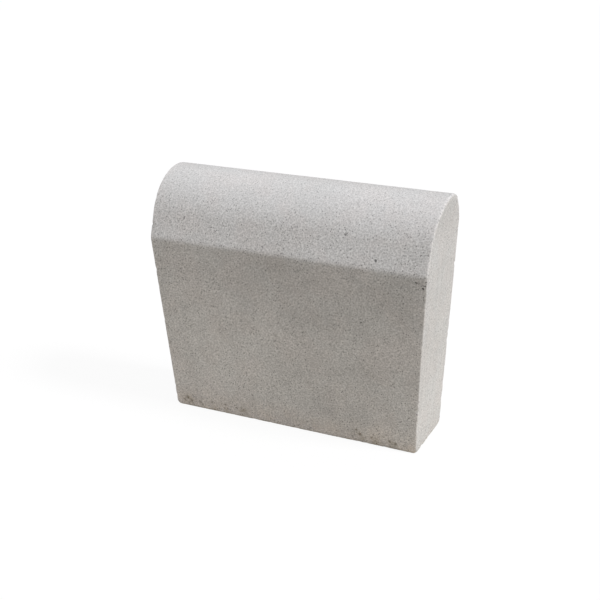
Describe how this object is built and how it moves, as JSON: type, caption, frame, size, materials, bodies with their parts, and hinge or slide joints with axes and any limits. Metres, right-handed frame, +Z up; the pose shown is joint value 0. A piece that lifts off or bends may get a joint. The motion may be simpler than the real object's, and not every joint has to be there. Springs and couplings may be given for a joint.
{
  "type": "concrete kerb stone",
  "caption": "Straight concrete kerb stone with an arched crown that rounds into an upright back, a soft shoulder on the road face and a body that narrows to a flat base, set on edge to border a road or path.",
  "frame": {"origin": "on the base, under the middle of the length and of the thickness", "axes": "+X along the kerb line, -Y out of the road face, +Z up"},
  "size_m": [0.3498, 0.1097, 0.3],
  "materials": {
    "concrete": "fine-grained pressed concrete, matte, light grey"
  },
  "bodies": {
    "root": {"kerb_stone": "concrete"}
  },
  "joints": []
}
